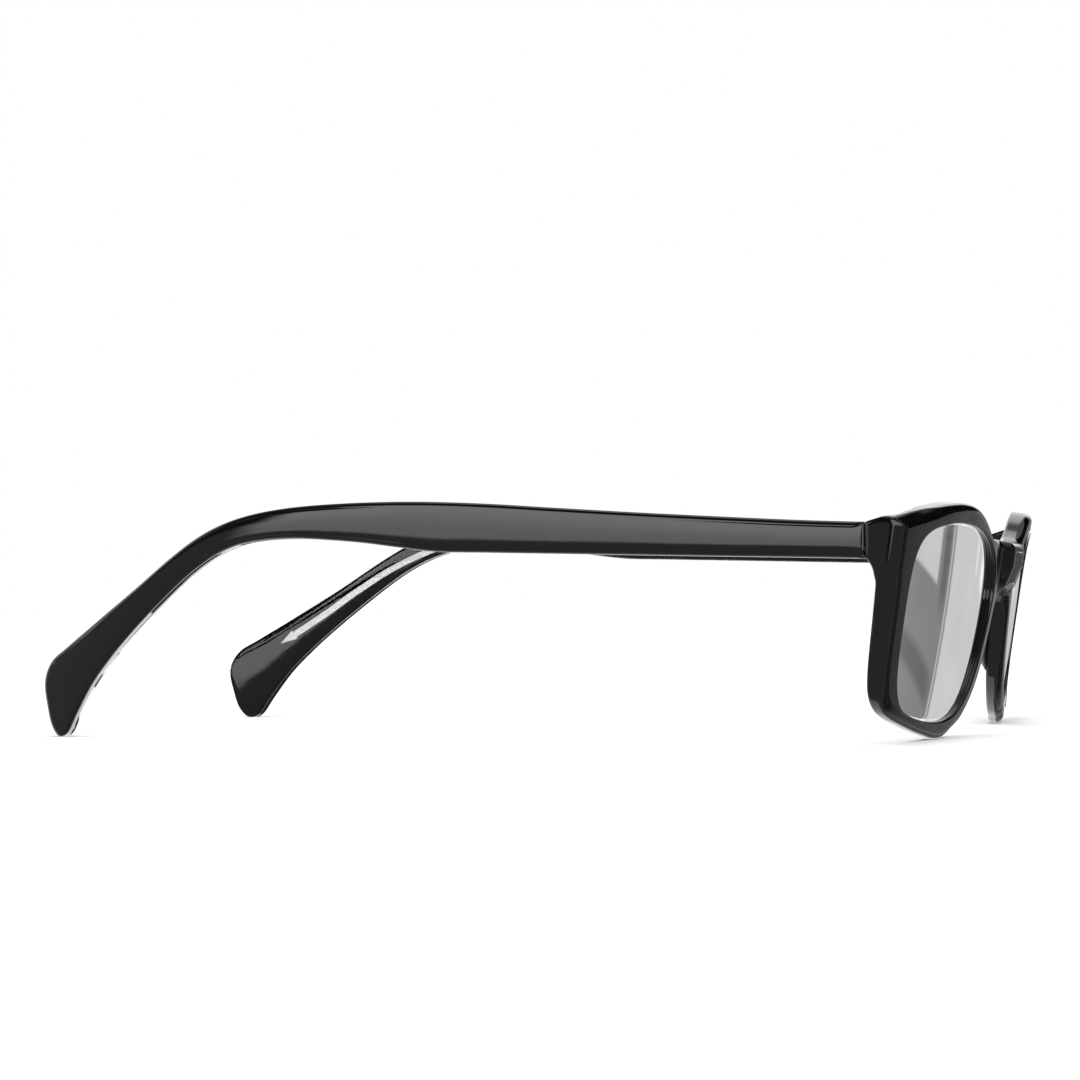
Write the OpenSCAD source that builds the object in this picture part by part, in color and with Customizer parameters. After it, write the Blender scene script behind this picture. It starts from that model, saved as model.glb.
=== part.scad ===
// Full-rim acetate eyeglasses, standing open on a flat surface.
// The wearer's right side is -X, the front faces -Y, the temples run towards +Y and the table is Z = 0.

/* [Front] */
// Thickness of the acetate front halfway up (mm)
front_t = 3.1; // [3:0.05:3.4]
// Radius of the bend of the front, seen from above (mm)
front_bend_r = 365; // [358:1:372]
// Forward lean of the front when the glasses stand on a table (degrees)
front_lean = 8.6; // [7.6:0.1:9.6]
// Angle between the outer and inner faces of the front, which is thicker at the brow (degrees)
front_taper = 2; // [1:0.1:2.5]
// How far the raised nose bridge stands proud of the rims (mm)
bridge_proud = 1.6; // [1:0.1:2.4]
// Lowest point of the rim outline, ground flat where it meets the table (mm)
rim_bottom_drop = 0.5; // [0.4:0.05:0.6]

/* [Lenses] */
// Thickness of a lens (mm)
lens_t = 1.6; // [1.4:0.1:1.8]
// Depth from the front face to the middle of the lens (mm)
lens_depth = 1.6; // [1.5:0.05:1.7]
// How far the lens edge enters its groove (mm)
bezel_d = 0.7; // [0.4:0.05:0.9]
// Width of the lens groove (mm)
bezel_w = 0.8; // [0.6:0.05:0.9]

/* [Hinges] */
// Radius of a hinge barrel (mm)
barrel_r = 1.2; // [1:0.05:1.22]
// Height of one of the five hinge barrels (mm)
barrel_h = 0.84; // [0.7:0.02:0.86]
// Radius of the hinge screw shank (mm)
screw_r = 0.62; // [0.5:0.02:0.7]
// Thickness of the temple hinge leaf (mm)
leaf_t = 0.8; // [0.6:0.05:1]
// Radius of the hinge rivets (mm)
rivet_r = 0.4; // [0.3:0.05:0.5]

/* [Temples] */
// Thickness of the black outer layer of a temple (mm)
outer_layer_t = 2.3; // [2:0.1:2.5]
// Thickness of the clear inner layer of a temple (mm)
inner_layer_t = 1.6; // [1.4:0.05:1.6]
// Angle by which each open temple leans inwards (degrees)
temple_splay = 5; // [4:0.25:6]
// Radius of the inward curve of the temple ends, seen from above (mm)
ear_bend_r = 144.25; // [130:0.25:180]
// Width of the metal core wire (mm)
wire_w = 1.05; // [0.9:0.05:1.4]
// Thickness of the metal core wire (mm)
wire_t = 1; // [0.7:0.05:1]

/* [Nose pads] */
// Height by which a nose pad stands behind the rim (mm)
pad_h = 2.6; // [2.2:0.1:3]

/* [Hidden] */

round_fn = 64;          // facets of small round parts
bend_fn = 720;          // facets of the long bends
curve_steps = 5;        // straight steps between two outline points
joint_y = -60.5;          // the joint plane between the front and the temples
foot_y = -7.58;         // lower edge of the front's outer face, from the joint plane
high = 60;              // longer than any part of the glasses is tall
deep = 30;              // longer than the front is deep
room = 200;             // longer than the open glasses
play = 0.05;            // open gap between neighbouring faces that move

// End pieces: the blocks at the two ends of the front that meet the temples
end_x = 68.4;
end_inner_x = 61;
end_outline_v = [24.6, 31.75]; // lower and upper ends of the outline's straight side, along the front
end_side = [[0, 32.05], [-3, 32.95], [-8, 33.7], [-8, 23], [-1.2, 23], [-1.2, 24.3], [0, 24.3]];
end_fillet_at = [2, 24.3];
end_fillet_r = 3.2;
taper_v = 18;           // height along the front at which its thickness is front_t

// Hinge position, from the joint plane
axis_x = 63;
axis_y = 1.5;
stack_z = 27;
barrel_gap = 0.04;
shank_run = 0.04;       // radial clearance of the moving barrels on the screw
shank_seat = 0.01;      // radial clearance of the fixed barrels on the screw
arm_x = 0.8;            // half width of the arm behind a front barrel
front_leaf_x = [62, 65.5];
front_leaf_y = 1.1;
front_rivet_x = 64.7;
front_rivet_in = 2.6;
rivet_rise = [1.1, 3.3];
screw_head_r = 1.05;
screw_head_h = 0.55;
slot_w = 0.28;
slot_d = 0.3;
temple_leaf_u = [1.2, 12];
temple_leaf_margin = 0.25;
temple_rivet_u = [5, 9.5];
temple_rivet_rise = 2.2;
temple_rivet_in = 1.5;
arm_reach = 1.85;        // from the hinge axis to the root of a temple barrel's arm
stack_h = 5 * barrel_h + 4 * barrel_gap;

// Temple position, from the joint plane
temple_x = 68.3;
temple_t = outer_layer_t + inner_layer_t;
straight_u = 80.3;      // length of the straight part
arrow_half = 0.85;      // half width of the arrow head of the wire
arrow_root = [124.1, 14.85];
arrow_tip = [126.4, 13.3];

// Nose pads: where the right one stands on the rim, its turn, half its length and its section.
// The flat foot of a pad bridges the shallow bend of the rim between two distances from the middle.
pad_at = [-10.7, 14];
pad_turn = 32;
pad_half = 6.2;
pad_reach = [6.4, 16.4];
pad_foot_turn = atan((bend_depth(pad_reach[1]) - bend_depth(pad_reach[0])) / (pad_reach[1] - pad_reach[0]));
pad_foot = front_t + bend_depth(pad_reach[0]) + (-pad_at[0] - pad_reach[0]) * tan(pad_foot_turn)
    + (pad_at[1] - taper_v) * tan(front_taper) + 0.01;
pad_section = [
    [1, 0], [0.9, 0.5], [-0.5, pad_h - 0.8], [-1.6, pad_h], [-2.6, pad_h + 0.2], [-3, pad_h - 0.6],
    [-2.8, 0.5], [-2.7, 0]
];

// Bridge: its plan [x, depth] and its side [depth, height along the front]
bridge_plan = [
    [-9.2, 0.6], [-5.4, -bridge_proud], [5.4, -bridge_proud], [9.2, 0.6], [7, 2.6], [-7, 2.6]
];
bridge_side = [
    [2.6, 30.3], [0, 30.3], [0.5 - bridge_proud, 30], [-bridge_proud, 29.5],
    [-bridge_proud, 26], [0.4 - bridge_proud, 25.3], [-0.8, 23.2], [0.6, 22.4], [2.6, 22.4]
];

// Upper outline of the right half of the front, from the middle outwards: [x, height along the front]
brow = [
    [0, 30.3], [-6, 30.3], [-11, 30.35], [-14.5, 30.65], [-18.5, 31.7], [-24.4, 33.8], [-30.5, 35.05],
    [-37, 35.25], [-44, 34.85], [-50, 34.25], [-56, 33.6], [-62, 32.8], [-66, 32.15],
    [-end_x, end_outline_v[1]]
];
// Side, lower edge and nose side of the right half, from the end piece round to the middle
cheek = [
    [-end_x, end_outline_v[0]], [-67.8, 22], [-67.6, 18], [-67.5, 13], [-67.2, 9], [-66.1, 6], [-63.5, 4],
    [-59.5, 2.75], [-54, 1.75], [-47.5, 0.75], [-42, 0.05], [-37, -rim_bottom_drop], [-33, -rim_bottom_drop],
    [-28.6, 0.55], [-23.5, 1.95], [-18.6, 4.4], [-14.6, 7.6], [-11.6, 11.4], [-9.4, 15.6], [-7.8, 19.3],
    [-5, 21.7], [0, 22.4]
];
// Opening of the right rim
opening = [
    [-35, 32.1], [-42, 32.1], [-49, 31.5], [-54.8, 30.6], [-59, 29], [-61.4, 26.4], [-62.3, 22.8],
    [-62.5, 17.8], [-62.4, 12.6], [-61.6, 8.2], [-59.2, 5.2], [-54.8, 3.7], [-48, 2.75], [-41, 2.35],
    [-34, 2.5], [-27.5, 3.7], [-21.8, 6.2], [-17.2, 10.1], [-14, 14.8], [-11.9, 19.5], [-11.4, 23.5],
    [-13.6, 26.8], [-18, 29.3], [-23.6, 30.95], [-29.3, 31.8]
];
// Side profile of a temple, from the top of the joint round the tip and back
// Each point is [distance behind the joint, height]
temple_side = [
    [0, 32.05], [10, 32.45], [22, 33.1], [35, 33.87], [47, 34.67], [57, 35.35], [66, 35.75], [74, 35.83],
    [82, 35.62], [89, 35.15], [95, 34.28], [100, 32.95], [104.5, 31], [109.4, 28], [116.9, 22.7],
    [124.7, 17.5], [130.2, 13.9], [132.9, 12.1], [134.3, 9.9], [134.6, 7.6], [134, 4.6], [133.3, 2.1],
    [132.3, 0.5], [131.2, -0.12], [129.9, 0.7], [128.2, 3.5], [125, 8.2], [121, 12.6], [117, 16.4],
    [113, 19.9], [109, 23.2], [105.5, 25.8], [101.5, 28.1], [97.5, 29.6], [93, 30.3], [88, 30.5],
    [83, 30.25], [77, 29.75], [71, 28.98], [65, 28.3], [57, 28.1], [47, 27.87], [35, 27.6], [22, 27.3],
    [10, 27.05], [0, 26.8]
];
// Middle line of the core wire: [distance behind the joint, height]
wire_line = [
    [13, 29.6], [22, 30], [35, 30.65], [50, 31.35], [65, 32.1], [74, 32.6], [82, 32.95], [90, 32.65],
    [97, 31.3], [103, 29], [108.1, 26.3], [111.6, 24], [115.1, 21.5], [118.6, 18.8], [124.6, 14.5]
];

// How far the inner face of the front has bent back at this distance from the middle
function bend_depth(x) = front_bend_r - front_t - sqrt(pow(front_bend_r - front_t, 2) - x * x);
// A point of the smooth curve through b and c
function blend(a, b, c, d, t) =
    0.5 * (2 * b + (c - a) * t + (2 * a - 5 * b + 4 * c - d) * t * t + (3 * b - a - 3 * c + d) * t * t * t);
// A smooth closed curve through the points
function ring(p) = let (n = len(p)) [
    for (i = [0 : n - 1], j = [0 : curve_steps - 1])
        blend(p[(i + n - 1) % n], p[i], p[(i + 1) % n], p[(i + 2) % n], j / curve_steps)
];
// A smooth open curve through the points, last point included
function strand(p) = let (n = len(p)) concat([
    for (i = [0 : n - 2], j = [0 : curve_steps - 1])
        blend(i == 0 ? 2 * p[0] - p[1] : p[i - 1], p[i], p[i + 1],
            i == n - 2 ? 2 * p[n - 1] - p[n - 2] : p[i + 2], j / curve_steps)
], [p[n - 1]]);
// The unit normal of a curve at point i
function across(p, i) = let (
    n = len(p),
    d = p[min(i + 1, n - 1)] - p[max(i - 1, 0)]
) [d[1], -d[0]] / norm(d);
// The same normal on a closed curve
function ring_across(p, i) = let (n = len(p), d = p[(i + 1) % n] - p[(i + n - 1) % n])
    [d[1], -d[0]] / norm(d);
// A closed curve moved outwards; the opening is drawn anticlockwise
function grown(p, by) = [for (i = [0 : len(p) - 1]) p[i] + by * ring_across(p, i)];
// A band of the given width along an open curve
function ribbon(p, w) = concat(
    [for (i = [0 : len(p) - 1]) p[i] + w / 2 * across(p, i)],
    [for (i = [len(p) - 1 : -1 : 0]) p[i] - w / 2 * across(p, i)]
);
function flipped(p) = [for (i = [len(p) - 1 : -1 : 0]) [-p[i][0], p[i][1]]];

// Places a part drawn from the joint plane
module at_joint() {
    translate([0, joint_y, 0]) children();
}

// Places a part drawn on the leaning front: X across, Y through the front, Z up along it
module on_front() {
    at_joint() translate([0, foot_y, 0]) rotate([front_lean, 0, 0]) children();
}

// Places a part drawn along the right temple: X inwards from its outer face, Y along it
module on_temple() {
    at_joint() translate([-temple_x, play, 0]) rotate([0, 0, -temple_splay]) children();
}

// The left part is the mirror image of the right one
module other_side() {
    mirror([1, 0, 0]) children();
}

module above_table() {
    translate([-room / 2, -room / 2, 0]) cube([room, room, high]);
}

// Draws a front outline as a slab that is deep from the outer face backwards
module through_front(outline, from = -deep / 2) {
    translate([0, from + 2 * deep, 0]) rotate([90, 0, 0]) linear_extrude(2 * deep) polygon(outline);
}

// The space that the front can fill
module front_space() {
    translate([-room / 2, -deep / 2, -high / 2]) cube([room, deep * 1.5, high * 2]);
}

// Everything behind the surface at this depth in the bent front
module behind(depth) {
    translate([0, front_bend_r, -high / 2]) cylinder(r = front_bend_r - depth, h = 2 * high, $fn = bend_fn);
}

// Everything behind the inner face, which leans less than the outer face
module behind_front() {
    translate([0, 0, taper_v]) rotate([-front_taper, 0, 0]) translate([0, 0, -taper_v]) behind(front_t);
}

// A bent layer of the front between two depths
module layer(d0, d1) {
    difference() {
        intersection() {
            behind(d0);
            front_space();
        }
        behind(d1);
    }
}

front_outline = concat(strand(brow), strand(cheek));

module bent_plate() {
    difference() {
        intersection() {
            behind(0);
            front_space();
            through_front(concat(front_outline, flipped(front_outline)));
        }
        behind_front();
    }
}

// The block behind the right end of the front that carries the hinge and meets the temple
module end_block() {
    difference() {
        intersection() {
            on_front() through_front(front_outline);
            on_front() behind(front_t / 2);
            at_joint() translate([-end_x, 0, 0]) rotate([90, 0, 90])
                linear_extrude(end_x - end_inner_x) polygon(end_side);
        }
        at_joint() translate([-room / 2, end_fillet_at[0], end_fillet_at[1]]) rotate([0, 90, 0])
            cylinder(r = end_fillet_r, h = room, $fn = round_fn);
        right_opening();
    }
}

// The raised bridge: its plan narrows forwards and its upper and lower edges are cut away
module bridge_block() {
    on_front() intersection() {
        linear_extrude(high) polygon(bridge_plan);
        translate([-high / 2, 0, 0]) rotate([90, 0, 90]) linear_extrude(high) polygon(bridge_side);
    }
}

module right_opening() {
    on_front() through_front(ring(opening));
}

module right_groove() {
    on_front() intersection() {
        layer(lens_depth - bezel_w / 2, lens_depth + bezel_w / 2);
        through_front(grown(ring(opening), bezel_d + 0.02));
    }
}

module front_leaf_pocket() {
    at_joint() translate([-front_leaf_x[1], -front_leaf_y, stack_z])
        cube([front_leaf_x[1] - front_leaf_x[0], front_leaf_y + 1, stack_h]);
}

module front_rivet(rise) {
    at_joint() translate([-front_rivet_x, -play, stack_z + rise]) rotate([90, 0, 0])
        cylinder(r = rivet_r, h = front_rivet_in, $fn = round_fn);
}

module front_half_cuts() {
    right_opening();
    right_groove();
    front_leaf_pocket();
    front_rivet(rivet_rise[0]);
    front_rivet(rivet_rise[1]);
}

// Rims, bridge and end pieces, cut from one sheet of black acetate
module frame_front() {
    color([0.03, 0.03, 0.035]) intersection() {
        above_table();
        difference() {
            union() {
                on_front() bent_plate();
                bridge_block();
                end_block();
                other_side() end_block();
            }
            front_half_cuts();
            other_side() front_half_cuts();
        }
    }
}

// A plano lens with a tongue round its edge that sits in the groove
module right_lens() {
    color([0.8, 0.85, 0.88, 0.4]) on_front() {
        intersection() {
            layer(lens_depth - lens_t / 2, lens_depth + lens_t / 2);
            through_front(grown(ring(opening), -0.03));
        }
        intersection() {
            layer(lens_depth - bezel_w / 2 + 0.03, lens_depth + bezel_w / 2 - 0.03);
            through_front(grown(ring(opening), bezel_d - 0.03));
        }
    }
}

module left_lens() {
    other_side() right_lens();
}

// An acetate pad bonded to the back of the rim beside the nose
module right_nose_pad() {
    color([0.04, 0.04, 0.045]) on_front() translate([pad_at[0], pad_foot, pad_at[1]])
        rotate([-front_taper, 0, -pad_foot_turn]) rotate([0, pad_turn, 0]) intersection() {
            translate([0, 0, -high / 2]) linear_extrude(high) polygon(pad_section);
            pad_dome();
        }
}

// The round back of a pad, seen from the side
module pad_dome() {
    dome_r = (pad_half * pad_half + pad_h * pad_h) / (2 * pad_h);
    translate([-high / 2, pad_h - dome_r, 0]) rotate([0, 90, 0])
        cylinder(r = dome_r, h = high, $fn = bend_fn);
}

module left_nose_pad() {
    other_side() right_nose_pad();
}

// Barrel i of the hinge, counted from the bottom
module barrel(i, bore_r) {
    translate([-axis_x, axis_y, stack_z + i * (barrel_h + barrel_gap)]) difference() {
        children();
        translate([0, 0, -1]) cylinder(r = bore_r, h = barrel_h + 2, $fn = round_fn);
    }
}

// Plate in the end piece with three barrels
module right_front_hinge_leaf() {
    color([0.72, 0.72, 0.74]) difference() {
        at_joint() {
            translate([-front_leaf_x[1], -front_leaf_y, stack_z])
                cube([front_leaf_x[1] - front_leaf_x[0], front_leaf_y - play, stack_h]);
            for (i = [0, 2, 4]) barrel(i, screw_r + shank_seat) {
                cylinder(r = barrel_r, h = barrel_h, $fn = round_fn);
                translate([-arm_x, -axis_y - front_leaf_y / 2, 0])
                    cube([2 * arm_x, axis_y + front_leaf_y / 2, barrel_h]);
            }
        }
        front_rivet(rivet_rise[0]);
        front_rivet(rivet_rise[1]);
    }
}

module left_front_hinge_leaf() {
    other_side() right_front_hinge_leaf();
}

module right_front_hinge_rivets() {
    color([0.8, 0.8, 0.82]) {
        front_rivet(rivet_rise[0]);
        front_rivet(rivet_rise[1]);
    }
}

module left_front_hinge_rivets() {
    other_side() right_front_hinge_rivets();
}

// Slotted screw that is the axle of the hinge
module right_hinge_screw() {
    color([0.85, 0.85, 0.87]) at_joint() translate([-axis_x, axis_y, stack_z]) {
        cylinder(r = screw_r, h = stack_h + 0.1, $fn = round_fn);
        difference() {
            translate([0, 0, stack_h]) cylinder(r = screw_head_r, h = screw_head_h, $fn = round_fn);
            translate([-2, -slot_w / 2, stack_h + screw_head_h - slot_d]) cube([4, slot_w, 1]);
        }
    }
}

module left_hinge_screw() {
    other_side() right_hinge_screw();
}

module temple_leaf_plate() {
    on_temple() translate([temple_t - leaf_t, temple_leaf_u[0], stack_z + temple_leaf_margin])
        cube([leaf_t, temple_leaf_u[1] - temple_leaf_u[0], stack_h - 2 * temple_leaf_margin]);
}

module temple_rivet(u) {
    on_temple() translate([temple_rivet_in, u, stack_z + temple_rivet_rise]) rotate([0, 90, 0])
        cylinder(r = rivet_r, h = temple_t - temple_rivet_in, $fn = round_fn);
}

// Plate let into the temple with two barrels
module right_temple_hinge_leaf() {
    color([0.72, 0.72, 0.74]) difference() {
        union() {
            temple_leaf_plate();
            at_joint() for (i = [1, 3]) barrel(i, screw_r + shank_run) {
                cylinder(r = barrel_r, h = barrel_h, $fn = round_fn);
                translate([-arm_reach, 0, 0]) cube([arm_reach, barrel_r, barrel_h]);
            }
        }
        temple_rivet(temple_rivet_u[0]);
        temple_rivet(temple_rivet_u[1]);
    }
}

module left_temple_hinge_leaf() {
    other_side() right_temple_hinge_leaf();
}

module right_temple_hinge_rivets() {
    color([0.8, 0.8, 0.82]) {
        temple_rivet(temple_rivet_u[0]);
        temple_rivet(temple_rivet_u[1]);
    }
}

module left_temple_hinge_rivets() {
    other_side() right_temple_hinge_rivets();
}

// A layer of the right temple between two distances from its outer face, seen from above
module temple_band(n0, n1) {
    on_temple() {
        translate([n0, -1, 0]) cube([n1 - n0, 1 + straight_u, high]);
        translate([ear_bend_r, straight_u, 0]) intersection() {
            difference() {
                cylinder(r = ear_bend_r - n0, h = high, $fn = bend_fn);
                translate([0, 0, -1]) cylinder(r = ear_bend_r - n1, h = high + 2, $fn = bend_fn);
            }
            translate([-2 * ear_bend_r, 0, 0]) cube([2 * ear_bend_r, high, high]);
        }
    }
}

// Extrudes a side outline sideways across the right temple
module across_temple(outline) {
    at_joint() translate([-80, 0, 0]) rotate([90, 0, 90]) linear_extrude(50) polygon(outline);
}

module temple_blank(n0, n1) {
    intersection() {
        across_temple(strand(temple_side));
        temple_band(n0, n1);
        above_table();
        at_joint() translate([-room / 2, play, 0]) cube([room, room, high]);
    }
}

module right_temple_outer_layer() {
    color([0.03, 0.03, 0.035]) difference() {
        temple_blank(0, outer_layer_t);
        temple_rivet(temple_rivet_u[0]);
        temple_rivet(temple_rivet_u[1]);
    }
}

module left_temple_outer_layer() {
    other_side() right_temple_outer_layer();
}

// The clear layer, with a pocket for the hinge leaf and a channel for the wire
module right_temple_inner_layer() {
    color([0.85, 0.88, 0.9, 0.45]) difference() {
        temple_blank(outer_layer_t, temple_t);
        temple_leaf_plate();
        temple_rivet(temple_rivet_u[0]);
        temple_rivet(temple_rivet_u[1]);
        wire_shape();
    }
}

module left_temple_inner_layer() {
    other_side() right_temple_inner_layer();
}

module wire_shape() {
    head = arrow_tip - arrow_root;
    side = [head[1], -head[0]] / norm(head) * arrow_half;
    intersection() {
        union() {
            across_temple(ribbon(strand(wire_line), wire_w));
            across_temple([arrow_root + side, arrow_tip, arrow_root - side]);
        }
        temple_band(outer_layer_t, outer_layer_t + wire_t);
    }
}

// Flat metal core wire with an arrow head, laminated into the temple
module right_core_wire() {
    color([0.8, 0.8, 0.82]) wire_shape();
}

module left_core_wire() {
    other_side() right_core_wire();
}

frame_front();
right_lens();
left_lens();
right_nose_pad();
left_nose_pad();
right_front_hinge_leaf();
left_front_hinge_leaf();
right_front_hinge_rivets();
left_front_hinge_rivets();
right_hinge_screw();
left_hinge_screw();
right_temple_hinge_leaf();
left_temple_hinge_leaf();
right_temple_hinge_rivets();
left_temple_hinge_rivets();
right_temple_outer_layer();
left_temple_outer_layer();
right_temple_inner_layer();
left_temple_inner_layer();
right_core_wire();
left_core_wire();
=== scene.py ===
"""Full-rim acetate eyeglasses, standing open on a white studio floor.

Lengths in this file are in millimetres, and Sheet.object() turns them into metres.
The front is drawn on its own leaning plane: x across, w depth behind its outer face and v up along it.
A temple is drawn from the side: y behind the hinge joint, z up and n inwards from its outer face.
"""
import math

import bpy
import bmesh
import numpy as np
from mathutils import Matrix, Vector


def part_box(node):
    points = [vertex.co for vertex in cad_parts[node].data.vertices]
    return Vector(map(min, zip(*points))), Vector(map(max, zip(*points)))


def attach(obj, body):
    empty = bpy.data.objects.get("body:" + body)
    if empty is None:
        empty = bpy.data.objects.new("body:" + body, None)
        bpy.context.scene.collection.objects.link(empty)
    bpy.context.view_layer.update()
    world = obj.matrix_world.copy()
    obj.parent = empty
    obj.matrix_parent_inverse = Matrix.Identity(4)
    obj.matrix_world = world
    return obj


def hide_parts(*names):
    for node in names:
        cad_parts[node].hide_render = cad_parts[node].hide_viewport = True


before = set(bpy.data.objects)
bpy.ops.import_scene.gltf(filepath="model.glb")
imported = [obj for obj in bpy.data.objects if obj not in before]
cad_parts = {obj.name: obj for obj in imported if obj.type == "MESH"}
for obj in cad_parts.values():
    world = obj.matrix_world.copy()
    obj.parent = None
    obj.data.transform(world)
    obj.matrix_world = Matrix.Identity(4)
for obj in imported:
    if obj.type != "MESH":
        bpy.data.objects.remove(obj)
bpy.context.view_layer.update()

MM = 0.001

# ---- Dimensions shared with the CAD model --------------------------------------------------------

JOINT_GAP = 0.05        # between an end piece and its temple
JOINT_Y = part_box("right_temple_outer_layer")[0].y / MM - JOINT_GAP
FOOT_Y = -7.58          # foot of the front's outer face, from the joint
LEAN = math.radians(8.6)
BEND_R = 365            # the front is bent round an upright cylinder
FRONT_T = 3.1
TAPER = math.radians(2)
TAPER_V = 18            # the front is thicker above this line and thinner below it
END_X = 68.4            # half the width of the front
END_INNER_X = 61        # where the block of an end piece starts
BLOCK_Z = [23.2, 24.6]  # heights between which the block grows out of the rim
FILLET_AT = [24.3, 26.8]    # heights of the fillet under the block
FILLET_R = 3.2
FILLET_DEPTH = 2
FILLET_FOOT = -1.2      # depth of the block below its fillet, from the joint
BRIDGE_PROUD = 1.6
BRIDGE_HALF = 9.2       # half width of the bridge, with its sloping sides
BRIDGE_SLOPE = 3.8      # width of each sloping side
BRIDGE_UNDER = [(21.5, 22.4, 23.4, 25.4, 26.4), (0, 0.25, 0.55, 0.85, 1)]   # chamfer: v and share of the rise
BROW_END = [(56, 62, 66, 68.4), (33.6, 32.8, 32.15, 31.75)]     # top edge by an end piece: |x| and v
END_TOP = [(-8, -3, 0), (33.7, 32.95, 32.05)]   # top of an end piece: y from the joint and height
END_LOWERED_V = 26      # the lowering of that top fades out down to here
END_LOWERED_Y = [-5.5, -3]      # and over this distance in front of the joint

TEMPLE_X = 68.3         # outer face of a temple at the joint
SPLAY = math.radians(5)
STRAIGHT_U = 80.3       # length of the straight part; behind it the temple bends inwards
EAR_R = 144.25
OUTER_T = 2.3           # thickness of the black layer
TEMPLE_T = 3.9          # thickness of both layers
CURVE_STEPS = 12        # points of a curve from each outline point to the next

BROW = [
    (0, 30.3), (-6, 30.3), (-11, 30.35), (-14.5, 30.65), (-18.5, 31.7), (-24.4, 33.8), (-30.5, 35.05),
    (-37, 35.25), (-44, 34.85), (-50, 34.25), (-56, 33.6), (-62, 32.8), (-66, 32.15), (-END_X, 31.75),
]
CHEEK = [
    (-END_X, 24.6), (-67.8, 22), (-67.6, 18), (-67.5, 13), (-67.2, 9), (-66.1, 6), (-63.5, 4),
    (-59.5, 2.75), (-54, 1.75), (-47.5, 0.75), (-42, 0.05), (-37, -0.5), (-33, -0.5),
    (-28.6, 0.55), (-23.5, 1.95), (-18.6, 4.4), (-14.6, 7.6), (-11.6, 11.4), (-9.4, 15.6), (-7.8, 19.3),
    (-5, 21.7), (0, 22.4),
]
OPENING = [
    (-35, 32.1), (-42, 32.1), (-49, 31.5), (-54.8, 30.6), (-59, 29), (-61.4, 26.4), (-62.3, 22.8),
    (-62.5, 17.8), (-62.4, 12.6), (-61.6, 8.2), (-59.2, 5.2), (-54.8, 3.7), (-48, 2.75), (-41, 2.35),
    (-34, 2.5), (-27.5, 3.7), (-21.8, 6.2), (-17.2, 10.1), (-14, 14.8), (-11.9, 19.5), (-11.4, 23.5),
    (-13.6, 26.8), (-18, 29.3), (-23.6, 30.95), (-29.3, 31.8),
]
TEMPLE_TOP = [
    (0, 32.05), (10, 32.45), (22, 33.1), (35, 33.87), (47, 34.67), (57, 35.35), (66, 35.75), (74, 35.83),
    (82, 35.62), (89, 35.15), (95, 34.28), (100, 32.95), (104.5, 31), (109.4, 28), (116.9, 22.7),
    (124.7, 17.5), (130.2, 13.9), (132.9, 12.1),
]
TEMPLE_TIP = [
    (132.9, 12.1), (134.3, 9.9), (134.6, 7.6), (134, 4.6), (133.3, 2.1), (132.3, 0.5), (131.2, -0.12),
]
TEMPLE_BOTTOM = [
    (131.2, -0.12), (129.9, 0.7), (128.2, 3.5), (125, 8.2), (121, 12.6), (117, 16.4),
    (113, 19.9), (109, 23.2), (105.5, 25.8), (101.5, 28.1), (97.5, 29.6), (93, 30.3), (88, 30.5),
    (83, 30.25), (77, 29.75), (71, 28.98), (65, 28.3), (57, 28.1), (47, 27.87), (35, 27.6), (22, 27.3),
    (10, 27.05), (0, 26.8),
]

# ---- Polished edges and other details that only show close up ------------------------------------

FRONT_EDGE_R = 1.6      # rounding of the front's outer edge
BACK_EDGE_R = 0.5
OPENING_EDGE_R = 0.4
GROOVE_D = 0.45         # depth of the lens groove that shows beside the lens
GROOVE_PLAY = 0.08      # room in the groove on each side of the lens
GROOVE_FLAT = 0.8       # share of the groove's width that is flat at its bottom
# Fine cutter lines left in the wall of the opening: share of the way to the lens, and depth
WALL_LINES = [(0.22, 0), (0.30, 0.05), (0.40, 0), (0.55, 0), (0.64, 0.06), (0.74, 0), (0.9, 0)]
ROUND_STEPS = 8         # rows of quads in a quarter-round edge
WALL_ROWS = 5           # rows between the two rounded edges of the front
OUTLINE_EASE = 0.3      # the front's outline is smoothed over this length
INTO_EASE = 1.1         # and the directions into it over this one
WEDGE_X = [46, 64]      # where the bevel above an end piece grows to its full size
WEDGE_LEVEL = [0.2, 0.95]       # and how level the edge has to be for it
TEMPLE_EDGE_R = 0.7
CROWN = 0.22            # a temple's faces fall off by this much from their highest line to their top edges
CROWN_AT = 0.30         # height of that line, as a share of the temple's height
FLAT_INSIDE = [2, 18]   # the inner face is flat beside the hinge and crowned from here on
LENS_T = 1.2
LENS_DEPTH = 1.3        # depth of the middle of a lens at its centre
LENS_AT = [37, 17.5]    # centre of a lens, as |x| and v
LENS_DOME_R = 300       # the lenses bulge this much more than the front


# ---- Curves --------------------------------------------------------------------------------------

def through(points, steps=CURVE_STEPS):
    """A smooth open curve through the points, the same one that the CAD model uses."""
    p = np.array(points, float)
    p = np.vstack([2 * p[0] - p[1], p, 2 * p[-1] - p[-2]])
    out = []
    for i in range(1, len(p) - 2):
        a, b, c, d = p[i - 1], p[i], p[i + 1], p[i + 2]
        for t in np.arange(steps) / steps:
            out.append(0.5 * (2 * b + (c - a) * t + (2 * a - 5 * b + 4 * c - d) * t ** 2
                              + (3 * b - a - 3 * c + d) * t ** 3))
    out.append(p[-2])
    return np.array(out)


def closed_through(points, steps=CURVE_STEPS):
    """A smooth closed curve through the points."""
    p = list(points)
    wrapped = through(p[-2:] + p + p[:2], steps)
    return wrapped[2 * steps:-2 * steps - 1 + steps]


def lengths(curve):
    """Length along an open curve at each of its points."""
    return np.concatenate([[0], np.cumsum(np.linalg.norm(np.diff(curve, axis=0), axis=1))])


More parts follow.
